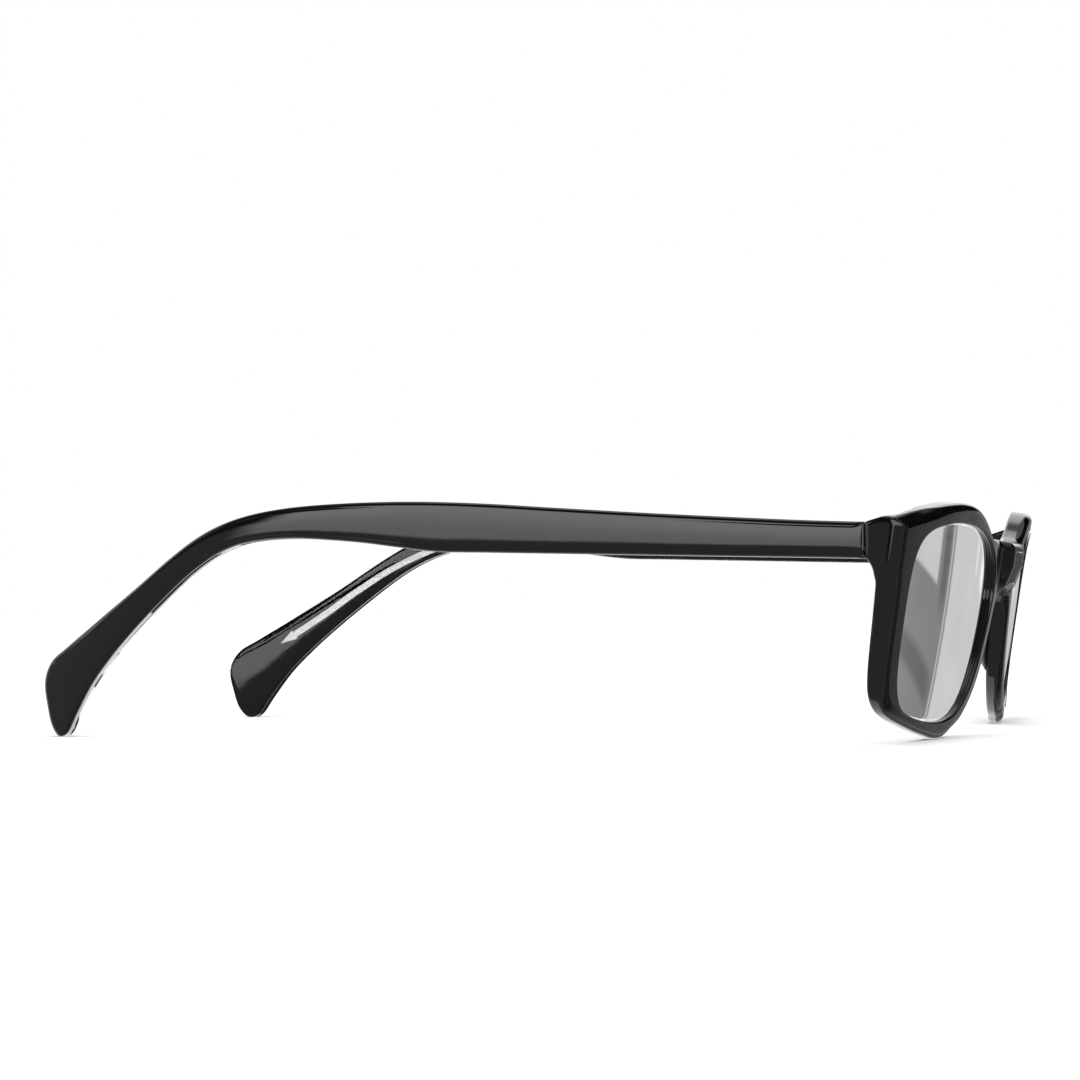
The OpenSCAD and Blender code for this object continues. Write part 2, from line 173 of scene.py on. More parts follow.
def spaced(curve, count, closed=False):
    """The curve again, with its points an equal distance apart."""
    c = np.vstack([curve, curve[:1]]) if closed else curve
    s = lengths(c)
    at = np.linspace(0, s[-1], count + 1)[:-1] if closed else np.linspace(0, s[-1], count)
    return np.stack([np.interp(at, s, c[:, k]) for k in range(2)], axis=1)


def eased(values, width):
    """A closed run of values, smoothed over about width samples each way."""
    k = np.arange(-int(3 * width) - 1, int(3 * width) + 2)
    weight = np.exp(-0.5 * (k / width) ** 2)
    return sum(w * np.roll(values, -j, axis=0) for w, j in zip(weight / weight.sum(), k))


def inwards(loop, width):
    """Unit directions into a closed anticlockwise loop, turning gently round its corners."""
    d = np.roll(loop, -1, axis=0) - np.roll(loop, 1, axis=0)
    n = eased(np.stack([-d[:, 1], d[:, 0]], axis=1), width)
    return n / np.linalg.norm(n, axis=1)[:, None]


def smoothstep(a, b, x):
    """0 at a and before it, 1 at b and beyond, and smooth between them."""
    t = np.clip((x - a) / (b - a), 0, 1)
    return t * t * (3 - 2 * t)


# ---- Meshes --------------------------------------------------------------------------------------

WELD = 2e-6             # m: points closer than this become one
NO_LENGTH = 1e-7        # m: edges shorter than this are removed


class Sheet:
    """Collects grids of points and turns them into one welded mesh."""

    def __init__(self):
        self.points, self.faces, self.marks = [], [], []

    def grid(self, rows, closed=False, mark=0):
        """Adds quads between rows of points; closed joins the end of each row to its start."""
        rows = [np.asarray(r, float) for r in rows]
        base, n = len(self.points), len(rows[0])
        for row in rows:
            self.points.extend(row)
        for i in range(len(rows) - 1):
            for j in range(n if closed else n - 1):
                a, b = base + i * n + j, base + i * n + (j + 1) % n
                self.faces.append((a, b, b + n, a + n))
                self.marks.append(mark)

    def object(self, name, mirror=False):
        """The mesh in metres, with its seams welded and its faces turned outwards."""
        p = np.array(self.points) * MM
        if mirror:
            p[:, 0] *= -1
        mesh = bpy.data.meshes.new(name)
        mesh.from_pydata([tuple(q) for q in p], [], self.faces)
        mesh.polygons.foreach_set("material_index", self.marks)
        bm = bmesh.new()
        bm.from_mesh(mesh)
        bmesh.ops.remove_doubles(bm, verts=bm.verts, dist=WELD)
        bmesh.ops.dissolve_degenerate(bm, edges=bm.edges, dist=NO_LENGTH)
        bmesh.ops.recalc_face_normals(bm, faces=bm.faces)
        for f in bm.faces:
            f.smooth = True
        bm.to_mesh(mesh)
        bm.free()
        piece = bpy.data.objects.new(name, mesh)
        bpy.context.scene.collection.objects.link(piece)
        return piece


def arc_steps(count):
    """(inset, depth) of a unit rounding, from the face to the wall."""
    a = np.radians(np.linspace(0, 90, count + 1))
    return 1 - np.sin(a), 1 - np.cos(a)


# ---- Front ---------------------------------------------------------------------------------------

def face_depth(x):
    """Depth of the bent outer face behind its foremost line."""
    return BEND_R - np.sqrt(BEND_R ** 2 - x * x)


def bridge_rise(x, v):
    """How far the bridge stands proud: a flat top with sloping sides and a chamfered lower edge."""
    side = np.clip((BRIDGE_HALF - np.abs(x)) / BRIDGE_SLOPE, 0, 1)
    return BRIDGE_PROUD * eased_clip(side) * np.interp(v, *BRIDGE_UNDER)


def eased_clip(t, soft=0.12):
    """A ramp from 0 to 1 with its two corners slightly rounded."""
    wide = (t - soft / 2) / (1 - soft)
    foot = soft * smoothstep(0, 2 * soft, wide + soft)
    head = 1 - soft * smoothstep(0, 2 * soft, 1 + soft - wide)
    return np.clip(np.where(wide < soft, foot, np.where(wide > 1 - soft, head, wide)), 0, 1)


def outer_face(x, v):
    """Depth of the outer face with the bridge on it."""
    return face_depth(x) - bridge_rise(x, v)


def joint_depth(v, y=0.0):
    """Depth, on the leaning front, of an upright plane at y from the hinge joint."""
    return (y - FOOT_Y + v * math.sin(LEAN)) / math.cos(LEAN)


def inner_face(x, v):
    """The inner face, with the end pieces reaching back to the joint."""
    plain = BEND_R - np.sqrt((BEND_R - FRONT_T) ** 2 - x * x) + (v - TAPER_V) * math.tan(TAPER)
    z = plain * math.sin(LEAN) + v * math.cos(LEAN)
    low, high = FILLET_AT
    rise = np.clip(z - low, 0, high - low)
    fillet = FILLET_DEPTH - np.sqrt(FILLET_R ** 2 - rise ** 2)
    reach = joint_depth(v, np.where(z < low, FILLET_FOOT, np.where(z > high, 0, fillet)))
    block = smoothstep(END_INNER_X - 0.6, END_INNER_X + 0.9, np.abs(x)) * smoothstep(*BLOCK_Z, z)
    return plain + np.clip(reach - plain, 0, None) * block


def on_front(x, v, w):
    """Points in space of the leaning front; the tops of the end pieces slope down to the joint."""
    y = FOOT_Y + w * math.cos(LEAN) - v * math.sin(LEAN)
    brow = np.interp(np.abs(x), *BROW_END)
    excess = w * math.sin(LEAN) + brow * math.cos(LEAN) - np.interp(y, *END_TOP)
    fade = smoothstep(END_LOWERED_V, brow, v) * smoothstep(*END_LOWERED_Y, y)
    lowered = np.clip(excess, 0, None) * fade
    z = np.maximum(w * math.sin(LEAN) + v * math.cos(LEAN) - lowered, 0)
    return np.stack(np.broadcast_arrays(x, y + JOINT_Y, z), axis=1)


def half_outline(count):
    """Outer edge of the right half, from the middle top to the middle bottom, and its inward directions."""
    half = np.vstack([through(BROW), through(CHEEK)])
    loop = np.vstack([half, (half * [-1, 1])[::-1][1:-1]])
    loop = spaced(loop, 2 * count, closed=True)
    step = np.linalg.norm(loop[1] - loop[0])
    loop = eased(loop, OUTLINE_EASE / step)
    into = inwards(loop, INTO_EASE / step)
    into[0] = (0, -1)
    into[count] = (0, 1)
    loop[[0, count], 0] = 0
    return loop[:count + 1], into[:count + 1]


def matched(curve, anchors, stations):
    """Points of a closed curve opposite the stations, which are spread between the anchors."""
    wrapped = np.vstack([curve, curve[:1]])
    s = lengths(wrapped)
    found = [s[np.argmin(np.linalg.norm(curve - a, axis=1))] for a in anchors]
    for i in range(1, len(found)):
        while found[i] < found[i - 1]:
            found[i] += s[-1]
    share = np.interp(stations, np.linspace(0, 1, len(found)), found) % s[-1]
    return np.stack([np.interp(share, s, wrapped[:, k]) for k in range(2)], axis=1)


# Points of the outer edge and the points of the opening that face them, going round the right rim
EDGE_ANCHORS = [(0, 30.3), (-37, 35.25), (-68.2, 31.6), (-67.6, 18), (-66.1, 6), (-35, -0.5), (-18.6, 4.4),
                (-9.4, 15.6), (-5.4, 21.5), (0, 22.4)]
OPENING_ANCHORS = [(-18, 29.3), (-38.5, 32.1), (-58, 29.6), (-62.5, 17.8), (-60.6, 6.6), (-37, 2.4),
                   (-21.8, 6.2), (-14, 14.8), (-11.7, 20.8), (-11.4, 23.5)]
MIDDLE_COUNT = 22       # stations up the middle of the bridge
EDGE_COUNT = 620        # stations along the outer edge of one half
FACE_ROWS = 22          # rows of quads from the outer edge to the opening
HOLE_COUNT = 900        # points round the opening before they are matched to the stations
HOLE_EASE = 4           # how many of them its outline and directions are smoothed over
RING_EASE = 1.5         # and how many stations after the matching


def rim_stations():
    """Everything that the front's grids share: outer edge, opening and the directions into the material."""
    edge, edge_in = half_outline(EDGE_COUNT)
    s = lengths(edge)
    marks = [s[np.argmin(np.linalg.norm(edge - a, axis=1))] for a in EDGE_ANCHORS]
    count = len(EDGE_ANCHORS)
    along = np.interp(s, marks, np.arange(count) / count)
    middle = (count - 1 + np.arange(1, MIDDLE_COUNT) / MIDDLE_COUNT) / count
    hole = eased(spaced(closed_through(OPENING), HOLE_COUNT, closed=True), HOLE_EASE)
    ring = matched(hole, OPENING_ANCHORS + OPENING_ANCHORS[:1], np.concatenate([along, middle]))
    ring = eased(ring, RING_EASE)
    return edge, edge_in, ring, -inwards(ring, HOLE_EASE)


def wedge(edge, edge_in):
    """How strongly the top edge of the end piece is bevelled, from 0 to 1."""
    return smoothstep(*WEDGE_X, -edge[:, 0]) * smoothstep(*WEDGE_LEVEL, -edge_in[:, 1])


def front_half(sheet):
    """The right half of the front: outer edge, both faces and the wall of the opening."""
    edge, edge_in, ring, ring_out = rim_stations()
    bevel = wedge(edge, edge_in)
    front_r = np.full(len(edge), FRONT_EDGE_R)
    back_r = np.full(len(edge), BACK_EDGE_R)
    x, v = edge.T
    inset, sink = arc_steps(ROUND_STEPS)
    straight = np.linspace(1, 0, ROUND_STEPS + 1)

    def edge_row(in_by, depth_of, deeper):
        p = edge + edge_in * in_by[:, None]
        return on_front(p[:, 0], p[:, 1], depth_of(p[:, 0], p[:, 1]) + deeper)

    # Rounded outer edge, flattened to a bevel above the end pieces, then the wall and the inner edge
    rows = []
    for round_in, round_down, ramp in zip(inset, sink, straight):
        in_by = round_in + (ramp - round_in) * bevel
        down = round_down + (1 - ramp - round_down) * bevel
        rows.append(edge_row(in_by * front_r, outer_face, down * front_r))
    wall_start = outer_face(x, v) + front_r
    wall_end = inner_face(x, v) - back_r
    for t in np.linspace(0, 1, WALL_ROWS + 2)[1:-1]:
        rows.append(on_front(x, v, wall_start + (wall_end - wall_start) * t))
    for round_in, round_down in zip(inset[::-1], sink[::-1]):
        rows.append(edge_row(round_in * back_r, inner_face, -round_down * back_r))
    sheet.grid(rows)

    # Outer and inner faces, from the rounded outer edge to the rounded edge of the opening
    for depth_of, in_by in ((outer_face, front_r), (inner_face, back_r)):
        start = edge + edge_in * in_by[:, None]
        middle = np.linspace(start[-1], start[0], MIDDLE_COUNT + 1)[1:-1]
        start = np.vstack([start, middle])
        stop = ring + ring_out * OPENING_EDGE_R
        rows = []
        for t in np.linspace(0, 1, FACE_ROWS + 1):
            p = start + (stop - start) * t
            rows.append(on_front(p[:, 0], p[:, 1], depth_of(p[:, 0], p[:, 1])))
        sheet.grid(rows, closed=True)

    # Wall of the opening, with the groove that holds the lens
    def ring_row(out_by, depth_of, deeper):
        p = ring + ring_out * out_by
        return on_front(p[:, 0], p[:, 1], depth_of(p[:, 0], p[:, 1]) + deeper)

    rows = [ring_row(OPENING_EDGE_R * a, outer_face, OPENING_EDGE_R * b) for a, b in zip(inset, sink)]
    lens = lens_middle(ring[:, 0], ring[:, 1])
    front_wall = outer_face(ring[:, 0], ring[:, 1]) + OPENING_EDGE_R
    wall_end = lens - LENS_T / 2 - GROOVE_PLAY
    for t, out_by in WALL_LINES:
        p = ring + ring_out * out_by
        rows.append(on_front(p[:, 0], p[:, 1], front_wall + (wall_end - front_wall) * t))
    for out_by, deeper in ((0, -1), (GROOVE_D, -GROOVE_FLAT), (GROOVE_D, GROOVE_FLAT), (0, 1)):
        p = ring + ring_out * out_by
        rows.append(on_front(p[:, 0], p[:, 1], lens + deeper * (LENS_T / 2 + GROOVE_PLAY)))
    rows += [ring_row(OPENING_EDGE_R * a, inner_face, -OPENING_EDGE_R * b)
             for a, b in zip(inset[::-1], sink[::-1])]
    sheet.grid(rows, closed=True)


def lens_middle(x, v):
    """Depth of the middle of the lens, which bulges more than the front."""
    bulge = ((np.abs(x) - LENS_AT[0]) ** 2 + (v - LENS_AT[1]) ** 2) / (2 * LENS_DOME_R)
    return face_depth(x) + LENS_DEPTH + bulge


def both_halves(build, name):
    """One mesh made of a half and its mirror image, welded along the middle."""
    sheet = Sheet()
    build(sheet)
    count = len(sheet.points)
    sheet.points += [p * [-1, 1, 1] for p in sheet.points]
    sheet.faces += [tuple(i + count for i in reversed(f)) for f in sheet.faces]
    sheet.marks += sheet.marks
    return sheet.object(name)


# ---- Lenses --------------------------------------------------------------------------------------

LENS_TONGUE = 0.3       # how far the rim of a lens reaches into its groove
LENS_RINGS = 26         # rings of quads on each face of a lens
LENS_COUNT = 480        # points round it
LENS_EASE = 3           # how many of them its outline is smoothed over
LENS_INTO_EASE = 4      # and the directions out of it
LENS_RING_POWER = 0.8   # below 1, the rings get closer together towards the rim
LENS_BEVEL = 0.3        # width of the polished bevel round a lens
# The rim of a lens from front to back: distance out from the opening's edge and share of half its thickness
LENS_RIM = [
    (-LENS_BEVEL, -1), (0.05, -0.9), (LENS_TONGUE * 0.8, -0.6), (LENS_TONGUE, -0.2),
    (LENS_TONGUE, 0.2), (LENS_TONGUE * 0.8, 0.6), (0.05, 0.9), (-LENS_BEVEL, 1),
]


def lens_sheet():
    """A bulging sheet of even thickness with a bevelled rim; its rim takes the second material."""
    sheet = Sheet()
    hole = eased(spaced(closed_through(OPENING), LENS_COUNT, closed=True), LENS_EASE)
    out = -inwards(hole, LENS_INTO_EASE)
    centre = hole.mean(axis=0)

    def row(p, through_t):
        return on_front(p[:, 0], p[:, 1], lens_middle(p[:, 0], p[:, 1]) + through_t * LENS_T / 2)

    face = hole - out * LENS_BEVEL
    rings = np.linspace(0, 1, LENS_RINGS + 1)[1:] ** LENS_RING_POWER
    for side in (-1, 1):
        sheet.grid([row(centre + (face - centre) * t, side) for t in rings], closed=True)
        count = len(hole)
        first = len(sheet.points) - LENS_RINGS * count
        sheet.points.append(row(centre[None], side)[0])
        for j in range(count):
            sheet.faces.append((first + j, first + (j + 1) % count, len(sheet.points) - 1))
            sheet.marks.append(0)
    sheet.grid([row(hole + out * grow, t) for grow, t in LENS_RIM], closed=True, mark=1)
    return sheet


# ---- Temples -------------------------------------------------------------------------------------

LENGTH_COUNT = 320      # stations along a temple
TIP_COUNT = 26          # stations round its tip, and down its joint end
BOND = 0.1              # the clear layer is let into the black one by this much, so that no gap shows
TEMPLE_INTO_EASE = 1.6  # stations over which the directions into a temple's outline are smoothed
JOINT_FADE = 1.6        # the edges change to their rounding at the joint over this length
JOINT_EDGE_R = 0.28     # rounding at the joint, where the temple meets the end piece
LEAF_ROOM = 0.06        # the clear layer is this much thinner beside the inlaid hinge leaf
LEAF_END = 13.5         # where that stops


def temple_point(y, z, n):
    """Points in space of the splayed and bent right temple."""
    s = SPLAY
    u = (y + n * math.sin(s)) / math.cos(s)
    x = n * math.cos(s) + u * math.sin(s)
    rho = EAR_R - n
    turn = np.arcsin((y + EAR_R * math.sin(s) - STRAIGHT_U * math.cos(s)) / rho) - s
    across = EAR_R - rho * np.cos(turn)
    along = STRAIGHT_U + rho * np.sin(turn)
    x = np.where(turn > 0, across * math.cos(s) + along * math.sin(s), x)
    return np.stack(np.broadcast_arrays(x - TEMPLE_X, y + JOINT_Y + JOINT_GAP, np.maximum(z, 0)), axis=-1)


def temple_loop():
    """The side outline in four pieces: bottom, tip, top and joint, going round anticlockwise."""
    strand = through(TEMPLE_TOP + TEMPLE_TIP[1:] + TEMPLE_BOTTOM[1:])[::-1]
    bottom_spans, tip_spans = len(TEMPLE_BOTTOM) - 1, len(TEMPLE_TIP) - 1
    cuts = [0, CURVE_STEPS * bottom_spans, CURVE_STEPS * (bottom_spans + tip_spans), len(strand) - 1]
    bottom, tip, top = (strand[a:b + 1] for a, b in zip(cuts, cuts[1:]))
    joint = np.array([top[-1], bottom[0]])
    return [spaced(bottom, LENGTH_COUNT), spaced(tip, TIP_COUNT), spaced(top, LENGTH_COUNT),
            spaced(joint, TIP_COUNT)]


def temple_sheet(n_out, n_in, out_r, in_r):
    """One layer of a temple between two distances from its outer face.

    A face with the full edge radius is crowned, and one with no radius takes the second material.
    """
    sheet = Sheet()
    parts = temple_loop()
    loop = np.vstack([p[:-1] for p in parts])
    into = inwards(loop, TEMPLE_INTO_EASE)
    sizes = [len(p) - 1 for p in parts]
    starts = np.concatenate([[0], np.cumsum(sizes)])
    across = np.concatenate([np.zeros(sizes[0]), np.arange(sizes[1]) / sizes[1], np.ones(sizes[2]),
                             1 - np.arange(sizes[3]) / sizes[3]])
    at_joint = smoothstep(JOINT_FADE, 0, loop[:, 0])
    inset, sink = arc_steps(ROUND_STEPS)

    def face_n(y, t, edge_r, n, turn):
        if edge_r < TEMPLE_EDGE_R:
            return np.full_like(y, n)
        room = LEAF_ROOM * (1 - smoothstep(LEAF_END, LEAF_END + 1, y)) if turn < 0 else 0
        fade = smoothstep(*FLAT_INSIDE, y) if turn < 0 else 1
        return n + turn * (CROWN * fade * ((t - CROWN_AT) / (1 - CROWN_AT)) ** 2 + room)

    def face(n, turn, edge_r):
        r = edge_r + (min(JOINT_EDGE_R, edge_r) - edge_r) * at_joint
        p = loop + into * r[:, None]
        bottom = np.vstack([p[starts[0]:starts[1]], p[starts[1]]])
        tip = np.vstack([p[starts[1]:starts[2]], p[starts[2]]])
        top = np.vstack([p[starts[2]:starts[3]], p[starts[3]]])[::-1]
        joint = np.vstack([p[starts[3]:], p[:1]])[::-1]
        u = np.linspace(0, 1, len(bottom))[:, None]
        rows = []
        for k, t in enumerate(np.linspace(0, 1, len(tip))):
            between = (1 - t) * bottom + t * top
            corners = (1 - u) * between[0] + u * between[-1]
            q = between + (1 - u) * joint[k] + u * tip[k] - corners
            rows.append(temple_point(q[:, 0], q[:, 1], face_n(q[:, 0], t, edge_r, n, turn)))
        sheet.grid(rows, mark=0 if edge_r else 1)
        edge_rows = []
        for a, b in zip(inset, sink):
            q = loop + into * (a * r)[:, None]
            start_n = face_n(p[:, 0], across, edge_r, n, turn)
            edge_rows.append(temple_point(q[:, 0], q[:, 1], start_n + turn * b * r))
        return edge_rows

    rows = face(n_out, 1, out_r) + face(n_in, -1, in_r)[::-1]
    sheet.grid(rows, closed=True)
    return sheet


# ---- Nose pads -----------------------------------------------------------------------------------

PAD_AT = [-10.7, 14]    # middle of the right pad, as x and v
PAD_TURN = math.radians(32)
PAD_HALF = 6.15         # half its length
PAD_MIDDLE = -0.9       # line of the section towards which the ends narrow
PAD_END_WIDTH = 0.45    # width of the ends, as a share of the full width
PAD_ROWS = 45
PAD_SUNK = 0.05         # how far it is let into the rim
# Half way along, across and out from the back of the rim
PAD_SECTION = [(0.95, 0), (0.8, 0.6), (0.1, 1.35), (-0.8, 2.1), (-1.6, 2.5), (-2.3, 2.45), (-2.75, 1.9),
               (-2.85, 1), (-2.7, 0)]


def nose_pad_sheet():
    """A soft crescent that stands on the back of the rim beside the nose."""
    sheet = Sheet()
    section = through(PAD_SECTION, 5)
    rows = []
    for t in np.sin(np.radians(np.linspace(-88, 88, PAD_ROWS))):
        full = math.sqrt(1 - t * t)
        u = PAD_MIDDLE + (section[:, 0] - PAD_MIDDLE) * (PAD_END_WIDTH + (1 - PAD_END_WIDTH) * full)
        x = PAD_AT[0] + u * math.cos(PAD_TURN) + PAD_HALF * t * math.sin(PAD_TURN)
        v = PAD_AT[1] - u * math.sin(PAD_TURN) + PAD_HALF * t * math.cos(PAD_TURN)
        rows.append(on_front(x, v, inner_face(x, v) - PAD_SUNK + section[:, 1] * full))
    sheet.grid(rows)
    sheet.grid([np.array([r[0], r[-1]]) for r in rows])
    for row in (rows[0], rows[-1]):
        base = len(sheet.points)
        sheet.points.extend(row)
        sheet.faces.append(tuple(range(base, base + len(row))))
        sheet.marks.append(0)
    return sheet


# ---- What reflections see ------------------------------------------------------------------------

ROOM_LIGHT = 1.3        # even light from all round, which the floor and dull surfaces see
ROOM_GREY = 0.35        # what reflections see where nothing else is
CEILING_LIGHT = 2.6
CEILING_EDGE = [62, 72]     # elevations over which the room turns into the ceiling
# Softboxes and black flags, each laid over the ones before it: azimuth range, elevation range, softness
# of the two and brightness, or a pair of brightnesses from one end to the other. Directions are in degrees.
# Azimuth 0 is along +X and 90 along +Y; a range beyond 90 goes on past 180 instead of jumping to -180.
SOFTBOXES = [
    ((-4, 91), (-90, 40), 1.5, 3, 1.3),
    ((137, 163.5), (0.6, 22), 4, 0.5, 2.4),
    ((137, 163.5), (7, 22), 4, 5, 3.5),
    ((137, 230), (22, 62), 5, 1, 0.02),
    ((98, 140), (8, 88), 4, 2, 0.02),
    ((175.5, 250), (-0.4, 22), 0.8, 0.5, 2.9),
    ((163.5, 176), (2.2, 90), 0.8, 0.6, 0.0),
    ((171.8, 175.5), (-0.4, 90), 0.4, 0.4, 0.0),
    ((-80, -46), (-60, 30), 6, 4, 0.10),
    ((-46, -20), (-60, 7), 4, 1.5, (0.02, 0.22)),
    ((-20, -9.5), (-60, 7), 1, 1.5, (0.22, 0.45)),
    ((-9.5, -4.5), (-60, 7), 0.6, 1.5, 0.12),
    ((-4.5, 3.5), (-60, 7), 0.6, 1.5, 0.28),
    ((-45, -6), (7, 26), 3, 1.2, 0.0),
]
# The lenses mirror nothing. These numbers set a painted reflection: an emission whose brightness follows the
# reflection direction
LENS_PAINTED_SPLIT = -21.5      # azimuth where the painted reflection on the lens turns from the dark to the light part of the studio it imitates
LENS_PAINTED_DARK = 0.21
LENS_PAINTED_LIGHT = 0.58
# Further patches of painted reflection on the lens: azimuth range, elevation range, softness of the two and
# light added
LENS_PAINTED_PATCHES = [
    ((-22.6, -22.1), (-40, 40), 0.2, 5, 0.28),
    ((-34.2, -26.6), (-4.4, 30), 0.5, 0.15, 0.36),
    ((-25.3, -23.3), (-4.8, 30), 0.3, 0.8, -0.08),
    ((-60, -23.5), (-8.0, -7.0), 2, 0.3, -0.09),
    ((-10, -8.6), (-1.9, 4), 0.25, 0.2, 0.16),
    ((-5.6, -3), (-1.6, 4), 0.3, 0.2, 0.32),
]


# ---- Materials -----------------------------------------------------------------------------------

class Graph:
    """Short names for building a node tree."""

    def __init__(self, tree):
        self.tree = tree
        tree.nodes.clear()

    def node(self, kind, settings=None, **inputs):
        made = self.tree.nodes.new(kind)
        for key, value in (settings or {}).items():
            setattr(made, key, value)
        for key, value in inputs.items():
            self.put(made.inputs[key.replace("_", " ")], value)
        return made

    def put(self, socket, value):
        if isinstance(value, bpy.types.NodeSocket):
            self.tree.links.new(value, socket)
        else:
            socket.default_value = value

    def maths(self, operation, *values):
        made = self.tree.nodes.new("ShaderNodeMath")
        made.operation = operation
        for socket, value in zip(made.inputs, values):
            self.put(socket, value)
        return made.outputs[0]

    def ramp(self, value, low, high, to_low=0.0, to_high=1.0):
        """A smooth step of the value between low and high."""
        made = self.node("ShaderNodeMapRange", {"interpolation_type": "SMOOTHSTEP"}, Value=value)
        made.inputs["From Min"].default_value = low
        made.inputs["From Max"].default_value = high
        made.inputs["To Min"].default_value = to_low
        made.inputs["To Max"].default_value = to_high
        return made.outputs[0]

    def band(self, value, low, high, soft):
        """1 between low and high, falling to 0 over soft on each side."""
        return self.maths("MULTIPLY", self.ramp(value, low - soft, low + soft),
                          self.ramp(value, high - soft, high + soft, 1, 0))

    def patch(self, azimuth, elevation, az, el, soft_az, soft_el):
        """A soft-edged rectangle in the directions round the object."""
        return self.maths("MULTIPLY", self.band(azimuth, az[0], az[1], soft_az),
                          self.band(elevation, el[0], el[1], soft_el))

    def angles(self, direction):
        """Azimuth and elevation, in degrees, of a direction."""
        part = self.node("ShaderNodeSeparateXYZ", Vector=direction).outputs
        azimuth = self.maths("DEGREES", self.maths("ARCTAN2", part[1], part[0]))
        return azimuth, self.maths("DEGREES", self.maths("ARCSINE", part[2]))

    def noise(self, scale, detail=3.0, stretch=(1, 1, 1)):
        place = self.node("ShaderNodeTexCoord").outputs["Object"]
        spread = self.node("ShaderNodeMapping", Vector=place, Scale=stretch).outputs[0]
        return self.node("ShaderNodeTexNoise", Vector=spread, Scale=scale, Detail=detail).outputs["Fac"]

    def colours(self, value, a, b):
        made = self.node("ShaderNodeMix", {"data_type": "RGBA"})
        self.put(made.inputs[0], value)
        self.put(made.inputs[6], (*a, 1))
        self.put(made.inputs[7], (*b, 1))
        return made.outputs[2]

    def bump(self, height, distance, strength=1.0):
        return self.node("ShaderNodeBump", Height=height, Distance=distance, Strength=strength).outputs[0]


def material(name):
    made = bpy.data.materials.new(name)
    made.use_nodes = True
    return made, Graph(made.node_tree)


def black_acetate():
    """Hand-polished black sheet: a deep gloss with a faint mottle, soft waviness and hairline wear."""
    made, g = material("black_acetate")
    mottle = g.noise(420, 4)
    colour = g.colours(mottle, (0.0016, 0.0016, 0.0019), (0.0042, 0.0041, 0.0046))
    hairline = g.noise(900, 2, (1, 6, 1))
    rough = g.ramp(hairline, 0.35, 0.75, 0.035, 0.075)
    wave = g.bump(g.noise(160, 2), 0.00004, 0.25)
    shader = g.node("ShaderNodeBsdfPrincipled", Base_Color=colour, Roughness=rough, IOR=1.5, Normal=wave)
    g.node("ShaderNodeOutputMaterial", Surface=shader.outputs[0])
    return made


def bonded_acetate():
    """The hidden face of the black sheet, where the clear sheet is bonded to it, so it mirrors nothing."""
    made, g = material("bonded_acetate")
    colour = g.colours(g.noise(420, 4), (0.002, 0.002, 0.0024), (0.0055, 0.0054, 0.006))
    shader = g.node("ShaderNodeBsdfDiffuse", Color=colour)
    g.node("ShaderNodeOutputMaterial", Surface=shader.outputs[0])
    return made


def clear_acetate():
    """Clear sheet laminated to the inside of the temples, with the faint streaks of extruded acetate."""
    made, g = material("clear_acetate")
    streak = g.noise(260, 3, (1, 0.15, 1))
    colour = g.colours(streak, (0.97, 0.975, 0.97), (0.90, 0.905, 0.905))
    rough = g.ramp(streak, 0.3, 0.7, 0.02, 0.05)
    wave = g.bump(streak, 0.00003, 0.2)
    shader = g.node("ShaderNodeBsdfPrincipled", Base_Color=colour, Roughness=rough, IOR=1.49, Normal=wave)
    shader.inputs["Transmission Weight"].default_value = 1
    g.node("ShaderNodeOutputMaterial", Surface=shader.outputs[0])
    return made


def pad_acetate():
    """The nose pads: black acetate buffed to a softer sheen."""
    made, g = material("pad_acetate")
    mottle = g.noise(500, 4)
    colour = g.colours(mottle, (0.002, 0.002, 0.0024), (0.006, 0.006, 0.0065))
    rough = g.ramp(g.noise(1400, 3), 0.3, 0.7, 0.10, 0.18)
    shader = g.node("ShaderNodeBsdfPrincipled", Base_Color=colour, Roughness=rough, IOR=1.5,
                    Normal=g.bump(mottle, 0.00005, 0.3))
    g.node("ShaderNodeOutputMaterial", Surface=shader.outputs[0])
    return made


def metal(name, dark, light, rough, grain, stretch):
    """Brushed or turned metal: fine grain in colour, roughness and bump."""
    made, g = material(name)
    fine = g.noise(grain, 3, stretch)
    colour = g.colours(fine, dark, light)
    shader = g.node("ShaderNodeBsdfPrincipled", Base_Color=colour, Metallic=1.0,
                    Roughness=g.ramp(fine, 0.3, 0.7, rough[0], rough[1]),
                    Normal=g.bump(fine, 0.00002, 0.35))
    g.node("ShaderNodeOutputMaterial", Surface=shader.outputs[0])
    return made


def studio(g, direction):
    """Brightness of the studio seen by reflections: softboxes and flags over an even room."""
    azimuth, elevation = g.angles(direction)
    round_trip = g.maths("ADD", azimuth, g.maths("MULTIPLY", g.maths("LESS_THAN", azimuth, 0), 360))
    total = g.ramp(elevation, *CEILING_EDGE, ROOM_GREY, CEILING_LIGHT)
    for az, el, soft_az, soft_el, value in SOFTBOXES:
        mask = g.patch(round_trip if az[0] > 90 else azimuth, elevation, az, el, soft_az, soft_el)
        if isinstance(value, tuple):
            value = g.ramp(azimuth, az[0], az[1], *value)
        total = g.maths("ADD", g.maths("MULTIPLY", total, g.maths("SUBTRACT", 1, mask)),
                        g.maths("MULTIPLY", mask, value))
    return total


